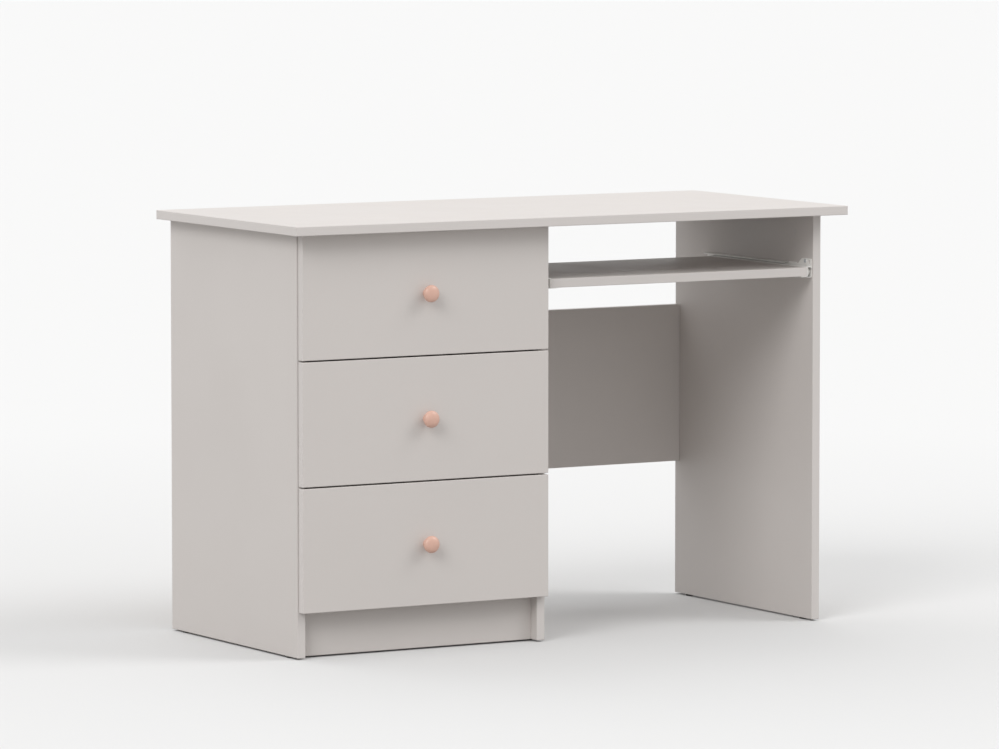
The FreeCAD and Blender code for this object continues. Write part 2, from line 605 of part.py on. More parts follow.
def make_carcass(runners, front_bottoms):
    """The fixed boards, drilled for every fitting that enters them."""
    depth = (PANEL_FRONT, PANEL_BACK)
    upright = (GLIDE_HEIGHT, TOP_UNDERSIDE)
    back_face = PANEL_BACK + BACK_BOARD
    back_low = FLOOR_BOTTOM + BACK_BOARD_INSET
    back_high = TOP_UNDERSIDE - BACK_BOARD_INSET
    boards = {
        "desk_top": board((-DESK_WIDTH / 2, DESK_WIDTH / 2), (-DESK_DEPTH / 2, DESK_DEPTH / 2),
                          (TOP_UNDERSIDE, DESK_HEIGHT)),
        "left_side_panel": board((LEFT_OUTSIDE, LEFT_INSIDE), depth, upright),
        "partition_panel": board((PARTITION_LEFT, PEDESTAL_RIGHT), depth, upright),
        "right_side_panel": board((RIGHT_INSIDE, RIGHT_OUTSIDE), depth, upright),
        "modesty_panel": board((PEDESTAL_RIGHT, RIGHT_INSIDE), (PANEL_BACK - BOARD, PANEL_BACK),
                               (MODESTY_LOW, MODESTY_HIGH)),
        "pedestal_floor": board((LEFT_INSIDE, PARTITION_LEFT), depth,
                                (FLOOR_BOTTOM, FLOOR_BOTTOM + BOARD)),
        "plinth_panel": board((LEFT_INSIDE, PARTITION_LEFT), (PLINTH_FRONT, PLINTH_FRONT + BOARD),
                              (GLIDE_HEIGHT, FLOOR_BOTTOM)),
        "pedestal_back": block((LEFT_OUTSIDE + BACK_BOARD_INSET, PEDESTAL_RIGHT - BACK_BOARD_INSET),
                               (PANEL_BACK, back_face), (back_low, back_high)),
    }
    locks, bolts, covers, drillings, dowels = carcass_joints()
    driven_in = {
        "dowels": dowels,
        "rail_screws": [screw for runner in runners for screw in runner.rail_screws()],
        "back_nails": back_nails(back_face, back_low, back_high),
        "floor_glides": floor_glides(),
    }
    cutters = [piece for pieces in driven_in.values() for piece in pieces] + list(drillings)
    for name, shape in boards.items():
        save(name, shape.cut(cutters))
    for name, pieces in driven_in.items():
        save(name, group(pieces))
    save("cam_locks", group(locks))
    save("cam_bolts", group(bolts))
    save("cam_covers", group(covers))
    save("drawer_bumpers", group(drawer_bumpers(front_bottoms)))


def main():
    os.makedirs("parts", exist_ok=True)
    pitch = FRONT_HEIGHT + FRONT_GAP
    top_front_bottom = TOP_UNDERSIDE - FRONT_TOP_GAP - FRONT_HEIGHT
    front_bottoms = [top_front_bottom - pitch * step for step in (2, 1, 0)]
    runners = {name: make_drawer(name, low) for name, low in zip(DRAWERS, front_bottoms)}
    runners["tray"] = make_tray()
    for name, runner in runners.items():
        save(name + "_rails", group(runner.rails()))
        save(name + "_front_rollers", group(runner.front_rollers()))
    make_carcass(runners.values(), front_bottoms)


main()
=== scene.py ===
"""The looks of the writing desk: materials, turned knobs, hardware detail, light and camera."""
import bpy
import bmesh
import json
import math
from mathutils import Matrix, Vector
from mathutils.geometry import tessellate_polygon


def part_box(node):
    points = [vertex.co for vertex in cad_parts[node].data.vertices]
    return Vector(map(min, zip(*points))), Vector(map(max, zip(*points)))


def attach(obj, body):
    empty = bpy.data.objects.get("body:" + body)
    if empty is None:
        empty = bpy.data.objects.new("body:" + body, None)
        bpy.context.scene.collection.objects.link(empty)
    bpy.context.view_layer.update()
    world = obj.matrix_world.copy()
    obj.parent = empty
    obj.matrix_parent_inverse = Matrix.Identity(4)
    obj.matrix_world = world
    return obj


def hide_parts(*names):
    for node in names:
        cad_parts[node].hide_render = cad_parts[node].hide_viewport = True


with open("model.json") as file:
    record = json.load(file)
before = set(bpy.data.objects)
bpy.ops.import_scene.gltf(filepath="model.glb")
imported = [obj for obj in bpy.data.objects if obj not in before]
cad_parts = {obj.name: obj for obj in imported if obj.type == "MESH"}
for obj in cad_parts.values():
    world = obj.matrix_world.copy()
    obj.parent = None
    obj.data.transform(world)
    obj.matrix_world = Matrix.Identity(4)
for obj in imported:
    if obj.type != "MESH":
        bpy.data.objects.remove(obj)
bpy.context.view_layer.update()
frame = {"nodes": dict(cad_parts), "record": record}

NODES = frame["nodes"]
BODIES = frame["record"]["behaviour"]["bodies"]
BODY_OF = {node: body for body, nodes in BODIES.items() for node in nodes}
DRAWERS = ("bottom_drawer", "middle_drawer", "top_drawer")
MOVERS = DRAWERS + ("tray",)
MM = 0.001

# ---- colours, linear ----------------------------------------------------------------------------
CASHMERE = (0.645, 0.606, 0.580)
CASHMERE_BAND = (0.655, 0.618, 0.595)
BOX_WHITE = (0.80, 0.785, 0.76)
LACQUER_WHITE = (0.80, 0.79, 0.765)
RAW_FIBRE = (0.36, 0.235, 0.135)
SALMON = (0.705, 0.435, 0.345)
SALMON_LIGHT = (0.765, 0.500, 0.415)
CREAM_COAT = (0.92, 0.905, 0.875)
NYLON_WHITE = (0.82, 0.81, 0.78)
ZINC = (0.70, 0.71, 0.72)
ZINC_BLUE = (0.66, 0.68, 0.71)
DIE_CAST = (0.52, 0.52, 0.53)
BEECH = (0.60, 0.40, 0.24)
BEECH_DARK = (0.46, 0.29, 0.16)
GLIDE_DARK = (0.045, 0.042, 0.040)
BUMPER_CLEAR = (0.72, 0.72, 0.70)


# ---- node helpers -------------------------------------------------------------------------------
BEVEL_SAMPLES = 4
MIX_FIRST, MIX_SECOND, MIX_RESULT = 6, 7, 2     # the Mix node's colour sockets


class Shader:
    """A new node material with one Principled BSDF, and short ways to add nodes to it."""

    def __init__(self, name, roughness, metallic=0.0, specular=0.5, coat=0.0):
        self.material = bpy.data.materials.new(name)
        self.material.use_nodes = True
        self.tree = self.material.node_tree
        self.bsdf = self.tree.nodes["Principled BSDF"]
        self.bsdf.inputs["Roughness"].default_value = roughness
        self.bsdf.inputs["Metallic"].default_value = metallic
        self.bsdf.inputs["Specular IOR Level"].default_value = specular
        self.bsdf.inputs["Coat Weight"].default_value = coat
        self.coords = self.tree.nodes.new("ShaderNodeTexCoord").outputs["Object"]
        self.rounding = None

    def node(self, kind, **inputs):
        made = self.tree.nodes.new("ShaderNode" + kind)
        for key, value in inputs.items():
            self.feed(made.inputs[key.replace("_", " ")], value)
        return made

    def feed(self, socket, value):
        if isinstance(value, bpy.types.NodeSocket):
            self.tree.links.new(value, socket)
        elif isinstance(value, tuple) and len(value) == 3 and socket.type == "RGBA":
            socket.default_value = (*value, 1.0)
        else:
            socket.default_value = value

    def noise(self, scale, detail=3.0, stretch=(1, 1, 1), roughness=0.5):
        place = self.node("Mapping", Vector=self.coords, Scale=stretch)
        made = self.node("TexNoise", Vector=place.outputs["Vector"], Scale=scale,
                         Detail=detail, Roughness=roughness)
        return made.outputs["Fac"]

    def ramp(self, value, low, high, to_low=0.0, to_high=1.0):
        made = self.node("MapRange", Value=value, From_Min=low, From_Max=high,
                         To_Min=to_low, To_Max=to_high)
        return made.outputs["Result"]

    def math(self, operation, first, second=0.0):
        made = self.tree.nodes.new("ShaderNodeMath")
        made.operation = operation
        self.feed(made.inputs[0], first)
        self.feed(made.inputs[1], second)
        return made.outputs["Value"]

    def mix(self, share, first, second):
        made = self.tree.nodes.new("ShaderNodeMix")
        made.data_type = "RGBA"
        self.feed(made.inputs["Factor"], share)
        self.feed(made.inputs[MIX_FIRST], first)
        self.feed(made.inputs[MIX_SECOND], second)
        return made.outputs[MIX_RESULT]

    def edges(self, radius):
        """Near 1 on convex and concave edges, 0 on flats. The bump then rounds them too."""
        bevel = self.node("Bevel", Radius=radius)
        bevel.samples = BEVEL_SAMPLES
        self.rounding = bevel.outputs["Normal"]
        flat = self.tree.nodes.new("ShaderNodeNewGeometry").outputs["Normal"]
        turn = self.tree.nodes.new("ShaderNodeVectorMath")
        turn.operation = "DOT_PRODUCT"
        self.feed(turn.inputs[0], bevel.outputs["Normal"])
        self.feed(turn.inputs[1], flat)
        return self.ramp(turn.outputs["Value"], 0.995, 0.90)

    def facing(self, axis):
        """1 where the surface looks along the axis, either way."""
        normal = self.tree.nodes.new("ShaderNodeNewGeometry").outputs["Normal"]
        split = self.node("SeparateXYZ", Vector=normal)
        return self.ramp(self.math("ABSOLUTE", split.outputs[axis]), 0.6, 0.8)

    def bump(self, height, strength, distance):
        made = self.node("Bump", Height=height, Strength=strength, Distance=distance)
        if self.rounding:
            self.feed(made.inputs["Normal"], self.rounding)
        self.feed(self.bsdf.inputs["Normal"], made.outputs["Normal"])

    def colour(self, value):
        self.feed(self.bsdf.inputs["Base Color"], value)

    def roughness(self, value):
        self.feed(self.bsdf.inputs["Roughness"], value)


def shade(colour, factor):
    return tuple(channel * factor for channel in colour)


def melamine(name, face, band, thickness_axis):
    """Matt melamine board: pearl-grained faces, smoother edge band, arrises a little rubbed."""
    s = Shader(name, roughness=0.5, specular=0.42)
    cloud = s.noise(2.2, detail=4.0)
    grain = s.noise(900.0, detail=2.0)
    mottle = s.mix(s.ramp(cloud, 0.35, 0.65), shade(face, 0.992), shade(face, 1.018))
    speckled = s.mix(s.ramp(grain, 0.3, 0.7, 0.0, 0.25), mottle, shade(face, 0.90))
    wide_face = s.facing(thickness_axis)
    banded = s.mix(wide_face, band, speckled)
    worn = s.math("MULTIPLY", s.edges(1.2 * MM), s.ramp(s.noise(45.0), 0.42, 0.62))
    s.colour(s.mix(s.math("MULTIPLY", worn, 0.5), banded, shade(face, 1.12)))
    smudge = s.ramp(s.noise(7.0, detail=5.0), 0.35, 0.7, 0.43, 0.55)
    s.roughness(smudge)
    pores = s.math("MULTIPLY", s.noise(1500.0, detail=1.0), wide_face)
    s.bump(pores, 0.22, 0.15 * MM)
    return s.material


def hardboard(name, white_side):
    """Thin hardboard, lacquered on one face and raw fibre on the others."""
    s = Shader(name, roughness=0.6, specular=0.35)
    fibres = s.noise(260.0, detail=6.0, stretch=(1.0, 1.0, 0.35))
    raw = s.mix(s.ramp(fibres, 0.3, 0.7), shade(RAW_FIBRE, 0.8), shade(RAW_FIBRE, 1.25))
    cloud = s.mix(s.ramp(s.noise(3.0), 0.35, 0.65), LACQUER_WHITE, shade(LACQUER_WHITE, 0.97))
    lacquer = s.mix(s.ramp(fibres, 0.4, 0.75, 0.0, 0.5), cloud, shade(LACQUER_WHITE, 0.93))
    axis, sign = white_side
    normal = s.tree.nodes.new("ShaderNodeNewGeometry").outputs["Normal"]
    split = s.node("SeparateXYZ", Vector=normal)
    toward = s.math("MULTIPLY", split.outputs[axis], sign)
    white = s.ramp(toward, 0.6, 0.8)
    s.colour(s.mix(white, raw, lacquer))
    s.roughness(s.ramp(white, 0.0, 1.0, 0.8, 0.42))
    s.bump(fibres, 0.25, 0.2 * MM)
    return s.material


def knob_paint():
    """Satin paint over turned wood, a little cloudy, and lighter at the rim where hands rub."""
    s = Shader("painted_knob", roughness=0.36, specular=0.5, coat=0.15)
    s.bsdf.inputs["Coat Roughness"].default_value = 0.25
    cloud = s.noise(60.0, detail=3.0)
    base = s.mix(s.ramp(cloud, 0.3, 0.7), shade(SALMON, 0.96), shade(SALMON, 1.04))
    rubbed = s.math("MULTIPLY", s.edges(1.5 * MM), s.ramp(s.noise(220.0), 0.4, 0.65, 0.0, 0.6))
    s.colour(s.mix(rubbed, base, SALMON_LIGHT))
    s.roughness(s.ramp(s.noise(150.0, detail=4.0), 0.3, 0.7, 0.30, 0.42))
    s.bump(s.noise(700.0, detail=2.0), 0.12, 0.1 * MM)
    return s.material


def coated_steel():
    """Cream epoxy powder coat with orange peel, thin at the edges."""
    s = Shader("coated_runner_steel", roughness=0.38, specular=0.5)
    peel = s.noise(1100.0, detail=1.5)
    base = s.mix(s.ramp(s.noise(30.0), 0.35, 0.65), CREAM_COAT, shade(CREAM_COAT, 0.95))
    thin = s.math("MULTIPLY", s.edges(0.5 * MM), s.ramp(s.noise(300.0), 0.5, 0.7, 0.0, 0.45))
    s.colour(s.mix(thin, base, DIE_CAST))
    s.roughness(s.ramp(peel, 0.3, 0.7, 0.32, 0.45))
    s.bump(peel, 0.3, 0.08 * MM)
    return s.material


def nylon():
    """Moulded nylon, a little translucent."""
    s = Shader("white_nylon", roughness=0.4, specular=0.45)
    s.bsdf.inputs["Subsurface Weight"].default_value = 0.12
    s.bsdf.inputs["Subsurface Radius"].default_value = (1.2 * MM, 1.0 * MM, 0.8 * MM)
    s.colour(s.mix(s.ramp(s.noise(180.0), 0.35, 0.65), NYLON_WHITE, shade(NYLON_WHITE, 0.93)))
    s.roughness(s.ramp(s.noise(500.0), 0.3, 0.7, 0.34, 0.48))
    s.bump(s.noise(900.0), 0.1, 0.05 * MM)
    return s.material


def zinc_plate(name, bright, dull, roughness):
    """Plated or cast zinc in clouds of two tones, with fine scratches."""
    s = Shader(name, roughness=roughness, metallic=1.0)
    cloud = s.noise(420.0, detail=3.0)
    scratch = s.noise(700.0, detail=2.0, stretch=(1.0, 9.0, 1.0))
    s.colour(s.mix(s.ramp(cloud, 0.3, 0.7), bright, dull))
    s.roughness(s.ramp(scratch, 0.3, 0.7, roughness - 0.08, roughness + 0.12))
    s.bump(scratch, 0.15, 0.03 * MM)
    return s.material


def beech():
    """Bare beech with fine upright streaks."""
    s = Shader("beech_dowel", roughness=0.6, specular=0.3)
    streak = s.noise(400.0, detail=4.0, stretch=(1.0, 1.0, 0.08))
    s.colour(s.mix(s.ramp(streak, 0.3, 0.7), BEECH, BEECH_DARK))
    s.roughness(s.ramp(streak, 0.3, 0.7, 0.5, 0.7))
    s.bump(streak, 0.3, 0.1 * MM)
    return s.material


def plastic(name, colour, roughness):
    """Moulded plastic with a fine spark-eroded grain."""
    s = Shader(name, roughness=roughness, specular=0.45)
    grain = s.noise(1300.0, detail=2.0)
    s.colour(s.mix(s.ramp(s.noise(90.0), 0.35, 0.65), colour, shade(colour, 0.92)))
    s.roughness(s.ramp(grain, 0.3, 0.7, roughness - 0.06, roughness + 0.06))
    s.bump(grain, 0.25, 0.06 * MM)
    return s.material


# ---- dressing the CAD nodes ---------------------------------------------------------------------
def dress(obj, material):
    obj.data.materials.clear()
    obj.data.materials.append(material)


def thin_axis(node):
    """0, 1 or 2: the axis along which a board is thinnest."""
    low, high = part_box(node)
    sizes = list(high - low)
    return sizes.index(min(sizes))


def dress_nodes():
    """Gives every CAD node its material."""
    axis_names = "xyz"
    boards = {axis: melamine("carcass_melamine_" + axis_names[axis], CASHMERE, CASHMERE_BAND, axis)
              for axis in range(3)}
    box_boards = {axis: melamine("drawer_box_" + axis_names[axis], BOX_WHITE, BOX_WHITE, axis)
                  for axis in range(3)}
    by_slot = {
        "coated_runner_steel": coated_steel(),
        "white_nylon": nylon(),
        "zinc_steel": zinc_plate("zinc_steel", ZINC, ZINC_BLUE, 0.28),
        "zinc_alloy": zinc_plate("zinc_alloy", DIE_CAST, shade(DIE_CAST, 0.9), 0.42),
        "beech_dowel": beech(),
        "glide_plastic": plastic("glide_plastic", GLIDE_DARK, 0.45),
        "bumper_plastic": plastic("bumper_plastic", BUMPER_CLEAR, 0.35),
        "cover_plastic": plastic("cover_plastic", CASHMERE_BAND, 0.45),
        "painted_knob": knob_paint(),
    }
    drawer_bottom = hardboard("drawer_bottom_hardboard", (2, 1.0))
    pedestal_back = hardboard("pedestal_back_hardboard", (1, -1.0))
    for entry in frame["record"]["subparts"]:
        node, slot = entry["node"], entry["material_slot"]
        if slot == "carcass_melamine":
            dress(NODES[node], boards[thin_axis(node)])
        elif slot == "drawer_box_melamine":
            dress(NODES[node], box_boards[thin_axis(node)])
        elif slot == "white_hardboard":
            dress(NODES[node], pedestal_back if node == "pedestal_back" else drawer_bottom)
        else:
            dress(NODES[node], by_slot[slot])


# ---- pieces -------------------------------------------------------------------------------------
SHARP_ANGLE = math.radians(32)
LATHE_STEPS = 72
ARC_STEPS = 8
NEAR = 0.001               # points this close in mm are one

# sizes in mm; the runners' are the CAD model's, with heights above the rail's or slide's lower edge
STEEL = 1.2
BEND = 1.4                 # middle radius of a fold in the sheet
RAIL_HEIGHT = 24.0
RAIL_REACH = 9.5
PLATE_CORNERS = (          # depth, height and rounding: the plate, the notch, then the tab
    (0.0, 33.5, 1.5), (31.0, 33.5, 4.0), (45.0, 22.0, 2.0), (49.0, 24.8, 1.5), (74.0, 24.8, 1.0))
GUIDE_START = 77.0         # the upper flange begins here
GUIDE_LIP = 2.6            # turned down along the flange's free edge
STOP_TAB = (45.0, 4.2)     # behind the rail's front, and its top
PLATE_SCREW = (20.0, 28.5)  # behind the rail's front, and up
MIDDLE_SCREW = 0.45        # share of the rail's length
REAR_SCREW = 30.0          # ahead of its rear end
SCREW_HOLE = 2.25
PRESSED_SLOT = (2.1, 4.0)  # end radius and half run
SLOT_SHARES = (0.30, 0.60, 0.78)
ADJUSTING_SLOT = (7.0, 27.5)
ADJUSTING_RUN = 1.5        # half of it
SCREW_SHANK = (1.75, 13.2)  # radius and length
SCREW_HEAD = 1.2
SCREW_DOME = ((3.5, 0.0), (3.5, 0.35), (3.2, 0.75), (2.75, 1.05), (2.3, 1.2))
CROSS = (0.42, 1.75, 0.8)  # half width, half length and depth
CROSS_TURN = (7.0, 11.0)   # degrees for each mm back and up, so that the screws differ
SLIDE_WEB = 11.3           # from the panel
SLIDE_FLANGE = 12.0
HOOK_START = 2.1           # from the panel
HOOK_DROP = 3.2
PIN_RADIUS = 2.5
PIN_HEAD_RADIUS = 4.0
PIN_CROWN = 0.35
FRONT_PIN = (9.0, 10.5)    # behind the rail's front, and up
FRONT_PIN_STEPS = (3.4, 9.9, 10.5)  # from the panel: collar's end, head's start and end
REAR_PIN = (12.0, 8.2)     # ahead of the slide's rear, and up
REAR_PIN_STEPS = (10.0, 3.5, 2.9)
ROLLER_BORE = 2.6
ROLLER_WIDTH = 5.9
ROLLER_SIDE = (            # radius and depth: hub, sunk web, rim, crown
    (4.2, 0.0), (4.5, 0.3), (4.6, 1.4), (6.0, 1.4), (6.2, 0.3), (6.5, 0.0), (7.4, 0.0),
    (7.8, 0.15), (7.95, 0.5), (8.0, 1.2))
HOLE_STEPS = 24
X_AXIS = Vector((1, 0, 0))
ORIGIN = Vector((0, 0, 0))


class Piece:
    """A mesh made in mm in a local frame, then placed, and mirrored where a pair is needed."""

    def __init__(self):
        self.shape = bmesh.new()

    def vertices(self, points):
        return [self.shape.verts.new(point) for point in points]

    def loft(self, rings, closed):
        """Skins rings of points, and joins the last to the first where closed."""
        made = [self.vertices(ring) for ring in rings]
        following = made[1:] + made[:1] if closed else made[1:]
        for ring, after in zip(made, following):
            for step in range(len(ring)):
                beside = (step + 1) % len(ring)
                self.shape.faces.new((ring[step], ring[beside], after[beside], after[step]))
        return made

    def lathe(self, profile, centre, axis):
        """Turns a closed profile of (radius, distance along) points about an axis."""
        turned = axis.to_track_quat("Z", "Y").to_matrix()
        rings = []
        for step in range(LATHE_STEPS):
            angle = 2 * math.pi * step / LATHE_STEPS
            across = Vector((math.cos(angle), math.sin(angle), 0.0))
            rings.append([centre + turned @ (across * radius + Vector((0, 0, along)))
                          for radius, along in profile])
        self.loft(rings, closed=True)

    def strip(self, path, front, rear):
        """Sheet steel folded along a path in x and z, running from front to rear."""
        left, right = offset_sides(fold(path, BEND), STEEL / 2)
        rings = [[Vector((x, y, z)) for x, z in left + right[::-1]] for y in (front, rear)]
        first, last = self.loft(rings, closed=False)
        count = len(left)
        for ring in (first, last):
            for step in range(count - 1):
                self.shape.faces.new((ring[step], ring[step + 1],
                                      ring[-step - 2], ring[-step - 1]))

    def bar(self, across, up, front, rear):
        """A straight bar from front to rear between two x and two z."""
        ring = [(across[0], up[0]), (across[1], up[0]), (across[1], up[1]), (across[0], up[1])]
        for end in self.loft([[Vector((x, y, z)) for x, z in ring] for y in (front, rear)],
                             closed=False):
            self.shape.faces.new(end)

    def plate(self, outline, holes, inner, outer):
        """Flat steel in y and z between two x, with holes."""
        loops = [outline] + holes
        flat = [[Vector((y, z, 0.0)) for y, z in loop] for loop in loops]
        triangles = tessellate_polygon(flat)
        sides = [self.vertices([(x, y, z) for loop in loops for y, z in loop])
                 for x in (inner, outer)]
        for side in sides:
            for triangle in triangles:
                self.shape.faces.new([side[corner] for corner in triangle])
        start = 0
        for loop in loops:
            for step in range(len(loop)):
                here, beside = start + step, start + (step + 1) % len(loop)
                self.shape.faces.new((sides[0][here], sides[0][beside],
                                      sides[1][beside], sides[1][here]))
            start += len(loop)

    def pair(self, left_face, right_face, front, base):
        """The local piece at a left panel's face, with its mirror image at the right one."""
        mirror = self.shape.copy()
        place(self.shape, left_face, front, base, 1.0)
        place(mirror, right_face, front, base, -1.0)
        join(self.shape, mirror)

    def finish(self, name, body, nodes, slot, material):
        """Makes the object, which stands for the nodes and rides on the body.

        Faces left inside the steel where a fold joins a plate, and lines left on a lathe's axis,
        are taken out.
        """
        bmesh.ops.remove_doubles(self.shape, verts=self.shape.verts, dist=NEAR * MM)
        walls = [face for face in self.shape.faces
                 if all(len(edge.link_faces) > 2 for edge in face.edges)]
        bmesh.ops.delete(self.shape, geom=walls, context="FACES_ONLY")
        loose = [edge for edge in self.shape.edges if not edge.link_faces]
        bmesh.ops.delete(self.shape, geom=loose, context="EDGES")
        bmesh.ops.dissolve_degenerate(self.shape, edges=self.shape.edges, dist=NEAR * MM)
        bmesh.ops.recalc_face_normals(self.shape, faces=self.shape.faces)
        mesh = bpy.data.meshes.new(name)
        self.shape.to_mesh(mesh)
        self.shape.free()
        mesh.shade_smooth()
        mesh.set_sharp_from_angle(angle=SHARP_ANGLE)
        piece = bpy.data.objects.new(name, mesh)
        bpy.context.scene.collection.objects.link(piece)
        dress(piece, material)
        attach(piece, body)
        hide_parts(*nodes)


def place(shape, x, y, z, side):
    """Scales the local mm to metres, mirrored in x where side is -1, and moves it."""
    scale = Matrix.Diagonal((side * MM, MM, MM, 1))
    bmesh.ops.transform(shape, verts=shape.verts, matrix=Matrix.Translation((x, y, z)) @ scale)


def join(shape, other):
    """Adds the other mesh to the shape, and frees it."""
    mesh = bpy.data.meshes.new("joined")
    other.to_mesh(mesh)
    other.free()
    shape.from_mesh(mesh)
    bpy.data.meshes.remove(mesh)


def corner_arc(before, corner, after, radius):
    """The curve that rounds a corner, ending a radius away from it on both sides."""
    start = corner + (before - corner).normalized() * radius
    end = corner + (after - corner).normalized() * radius
    shares = [step / ARC_STEPS for step in range(ARC_STEPS + 1)]
    return [start.lerp(corner, share).lerp(corner.lerp(end, share), share) for share in shares]


def fold(path, radius):
    """The path with each inner corner rounded to a radius."""
    points = [Vector(point) for point in path]
    line = [points[0]]
    for before, corner, after in zip(points, points[1:], points[2:]):
        line += corner_arc(before, corner, after, radius)
    line.append(points[-1])
    return [point for point, last in zip(line, [None] + line)
            if last is None or (point - last).length > NEAR]


def rounded_outline(corners):
    """A closed outline from (y, z, radius) corners."""
    points = [Vector(corner[:2]) for corner in corners]
    line = []
    for step, corner in enumerate(points):
        radius = corners[step][2]
        if radius:
            after = points[(step + 1) % len(points)]
            line += corner_arc(points[step - 1], corner, after, radius)
        else:
            line.append(corner)
    return [tuple(point) for point in line]


def offset_sides(path, reach):
    """The two lines that run beside a path at a distance."""
    left, right = [], []
    for step, point in enumerate(path):
        before = path[max(step - 1, 0)]
        after = path[min(step + 1, len(path) - 1)]
        along = (after - before).normalized()
        beside = Vector((-along.y, along.x)) * reach
        left.append(tuple(point + beside))
        right.append(tuple(point - beside))
    return left, right


def circle(y, z, radius):
    return oblong(y, z, radius, 0.0)


def oblong(y, z, radius, half_run, upright=False):
    """A slot with round ends about a middle, along y or upright."""
    points = []
    for step in range(HOLE_STEPS):
        angle = 2 * math.pi * (step + 0.5) / HOLE_STEPS
        run = half_run if math.cos(angle) > 0 else -half_run
        along, across = run + radius * math.cos(angle), radius * math.sin(angle)
        points.append((y - across, z + along) if upright else (y + along, z + across))
    return points


def material_of(node):
    return NODES[node].data.materials[0]


# ---- knobs --------------------------------------------------------------------------------------
# radius and distance from the drawer front; the first two points, the foot, stay sharp
KNOB_PROFILE = ((0.0, 0.0), (8.0, 0.0), (8.0, 0.6), (7.4, 1.6), (6.8, 3.6), (6.5, 6.0), (6.7, 8.0),
                (7.6, 9.6), (9.4, 10.8), (12.0, 11.7), (13.8, 12.8), (14.8, 14.4), (15.0, 16.2),
                (14.6, 18.2), (13.6, 19.9), (12.0, 21.3), (9.6, 22.5), (6.4, 23.4), (3.2, 23.86),
                (0.0, 24.0))
KNOB_SUBDIVISIONS = 4


def smooth_profile(points, divisions):
    """A Catmull-Rom line through the points."""
    points = [Vector(point) for point in points]
    padded = [points[0]] + points + [points[-1]]
    line = []
    for before, start, end, after in zip(padded, padded[1:], padded[2:], padded[3:]):
        for step in range(divisions):
            t = step / divisions
            line.append(0.5 * (2 * start + (end - before) * t
                               + (2 * before - 5 * start + 4 * end - after) * t ** 2
                               + (3 * start - before - 3 * end + after) * t ** 3))
    return [tuple(point) for point in line] + [tuple(points[-1])]


def make_knobs():
    """A turned knob on each drawer front."""
    for drawer in DRAWERS:
        node = drawer + "_knob"
        low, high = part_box(node)
        piece = Piece()
        foot, rest = list(KNOB_PROFILE[:2]), KNOB_PROFILE[2:]
        profile = foot + smooth_profile(rest, KNOB_SUBDIVISIONS)
        piece.lathe(profile, ORIGIN, Vector((0, -1, 0)))
        place(piece.shape, (low.x + high.x) / 2, high.y, (low.z + high.z) / 2, 1.0)
        piece.finish(node + "_turned", BODY_OF[node], [node], "painted_knob", material_of(node))


# ---- runners ------------------------------------------------------------------------------------
def rail_outline(length, low, high):
    """The web from the side, above the lower fold: plate, notch, tab, then the long run."""
    return rounded_outline(((0.0, low, 0), *PLATE_CORNERS, (GUIDE_START, high, 0),
                            (length, high, 0), (length, low, 0)))


def rail_screw_places(length):
    """The middles of a rail's three screws, back and up from its lower front corner."""
    middle = RAIL_HEIGHT / 2
    return (PLATE_SCREW, (length * MIDDLE_SCREW, middle), (length - REAR_SCREW, middle))


def rail_holes(length):
    """Screw holes, the pressed slots between them, and the adjusting slot in the plate."""
    screws = [circle(*place_on_rail, SCREW_HOLE) for place_on_rail in rail_screw_places(length)]
    slots = [oblong(length * share, RAIL_HEIGHT / 2, *PRESSED_SLOT) for share in SLOT_SHARES]
    return screws + slots + [oblong(*ADJUSTING_SLOT, SCREW_HOLE, ADJUSTING_RUN, upright=True)]


def rivet(piece, back, up, start, steps):
    """A pin across x with a collar against the sheet and a rounded head that keeps its roller."""
    collar, head, finish = steps
    crown = PIN_CROWN if finish > start else -PIN_CROWN
    profile = ((0, start), (PIN_HEAD_RADIUS, start), (PIN_HEAD_RADIUS, collar),
               (PIN_RADIUS, collar), (PIN_RADIUS, head), (PIN_HEAD_RADIUS, head),
               (PIN_HEAD_RADIUS, finish - crown), (PIN_HEAD_RADIUS - PIN_CROWN, finish),
               (0, finish))
    piece.lathe(profile, Vector((0, back, up)), X_AXIS)


def make_rails(mover):
    """Both rails: a web with the front plate, a track, an upper guide, a stop tab and a pin."""
    node = mover + "_rails"
    low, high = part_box(node)
    length = (high.y - low.y) / MM
    middle = STEEL / 2
    fold_end = middle + BEND
    upper = RAIL_HEIGHT - fold_end
    edge = RAIL_REACH - middle
    tab_front, tab_top = STOP_TAB
    piece = Piece()
    piece.plate(rail_outline(length, fold_end, upper), rail_holes(length), 0.0, STEEL)
    piece.strip([(RAIL_REACH, middle), (middle, middle), (middle, fold_end)], 0.0, length)
    piece.strip([(middle, upper), (middle, RAIL_HEIGHT - middle), (edge, RAIL_HEIGHT - middle),
                 (edge, RAIL_HEIGHT - GUIDE_LIP)], GUIDE_START, length)
    piece.bar((STEEL, RAIL_REACH), (STEEL, tab_top), tab_front, tab_front + STEEL)
    rivet(piece, *FRONT_PIN, middle, FRONT_PIN_STEPS)
    piece.pair(low.x, high.x, low.y, low.z)
    piece.finish(node + "_folded", "desk", [node], "coated_runner_steel", material_of(node))


